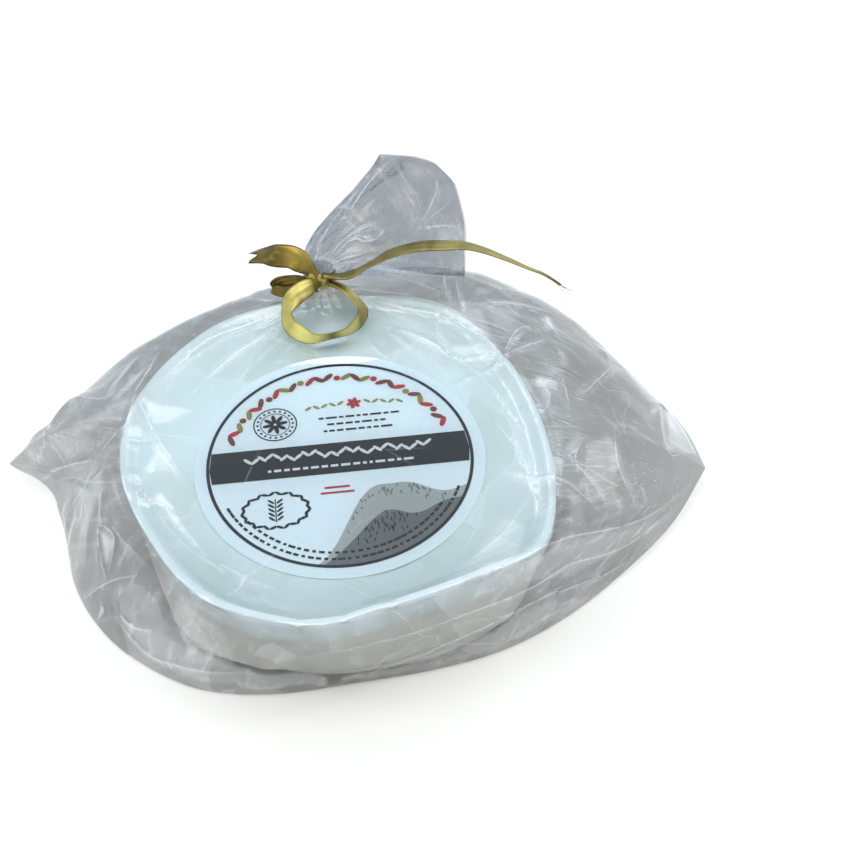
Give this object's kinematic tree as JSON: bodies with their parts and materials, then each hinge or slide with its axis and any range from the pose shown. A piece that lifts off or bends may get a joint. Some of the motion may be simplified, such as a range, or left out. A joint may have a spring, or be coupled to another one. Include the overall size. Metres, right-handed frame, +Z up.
{
  "type": "packed ricotta",
  "caption": "Fresh ricotta in a round tub with a sheet over it and a round label, inside a clear bag gathered and tied with a gold ribbon.",
  "frame": {"origin": "on the surface that the pack stands on, under the middle of the tub", "axes": "+Z up, +X towards the bag's right corner, -Y towards the front edge, with the tie at the back (+Y)"},
  "size_m": [0.267, 0.2002, 0.0933],
  "materials": {
    "film": "clear crinkled film, glossy",
    "tub": "white moulded plastic, slightly milky",
    "cover": "thin waxed white sheet, soft sheen",
    "label": "white label with black ring, satin",
    "ribbon": "gold satin"
  },
  "bodies": {
    "root": {"bag": "film", "ribbon": "ribbon"}
  },
  "joints": []
}
